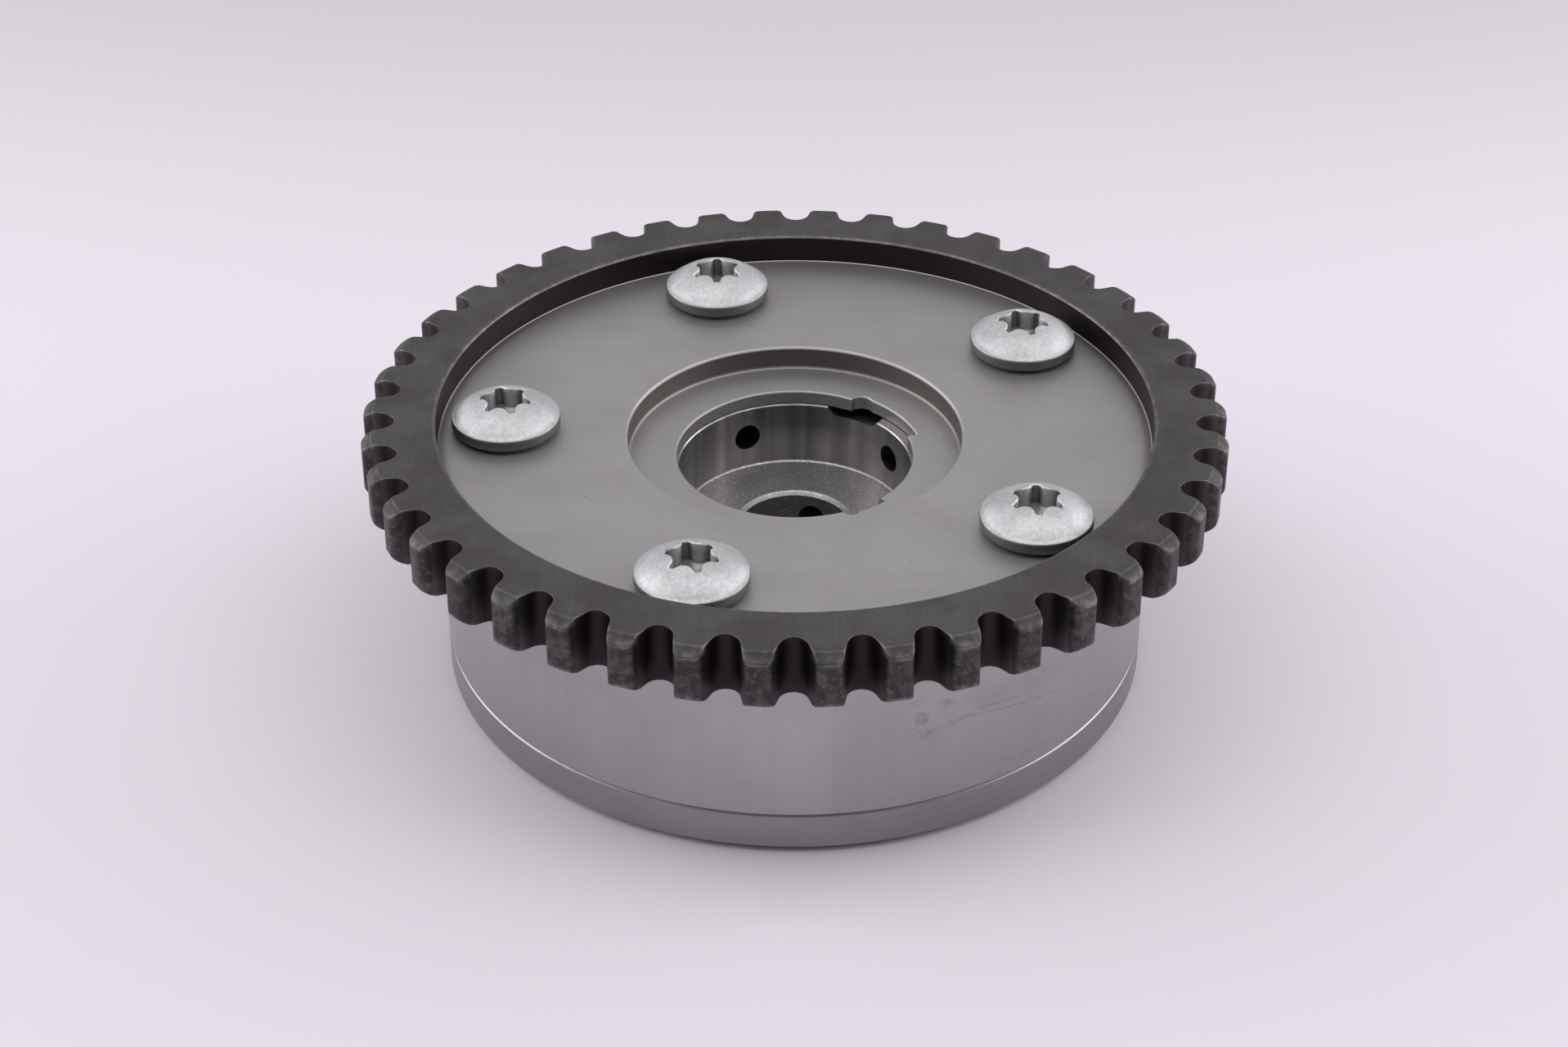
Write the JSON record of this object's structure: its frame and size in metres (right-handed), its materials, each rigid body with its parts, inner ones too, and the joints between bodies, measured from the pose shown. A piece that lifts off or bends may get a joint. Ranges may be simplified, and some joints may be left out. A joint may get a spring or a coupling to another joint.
{
  "type": "cam phaser",
  "caption": "Hydraulic vane cam phaser: a toothed chain ring on a round screwed housing, with a vaned rotor inside that turns with the camshaft and a sprung lock pin.",
  "frame": {"origin": "centre of the rear cover's outer face, on the camshaft's axis", "axes": "+Z along the camshaft's axis, from the rear cover towards the camshaft; +X through the middle of a sprocket tooth"},
  "size_m": [0.1104, 0.1102, 0.0366],
  "materials": {
    "dark_steel": "dark heat-treated steel, faintly brushed, worn lighter at the tooth edges",
    "ground_steel": "satin ground steel",
    "sintered_steel": "satin ground sintered steel",
    "zinc_flake": "matte silver zinc-flake coating",
    "machined_steel": "turned and bored steel",
    "seal_plastic": "dark filled plastic",
    "spring_steel": "bright spring steel",
    "pin_steel": "hardened ground steel"
  },
  "bodies": {
    "housing": {"sprocket_ring": "dark_steel", "front_cover": "ground_steel", "stator": "sintered_steel", "rear_cover": "ground_steel", "cover_screws": "zinc_flake", "lock_bush": "pin_steel"},
    "vane_rotor": {"rotor": "machined_steel", "tip_seal_1": "seal_plastic", "tip_seal_2": "seal_plastic", "tip_seal_3": "seal_plastic", "tip_seal_4": "seal_plastic", "tip_seal_5": "seal_plastic", "seal_spring_1": "spring_steel", "seal_spring_2": "spring_steel", "seal_spring_3": "spring_steel", "seal_spring_4": "spring_steel", "seal_spring_5": "spring_steel", "lock_spring": "spring_steel", "lock_cap": "pin_steel"},
    "pin": {"lock_pin": "pin_steel"}
  },
  "joints": [
    {"name": "phase", "type": "hinge", "parent": "housing", "child": "vane_rotor", "pos_m": [0, 0, 0.01645], "axis": [0, 0, 1], "range_deg": [0, 25]},
    {"name": "pin_lift", "type": "slide", "parent": "vane_rotor", "child": "pin", "axis": [0, 0, 1], "range_m": [0, 0.001], "stiffness_N_per_m": 800, "springref_m": -0.004, "deforming": ["lock_spring"]}
  ]
}
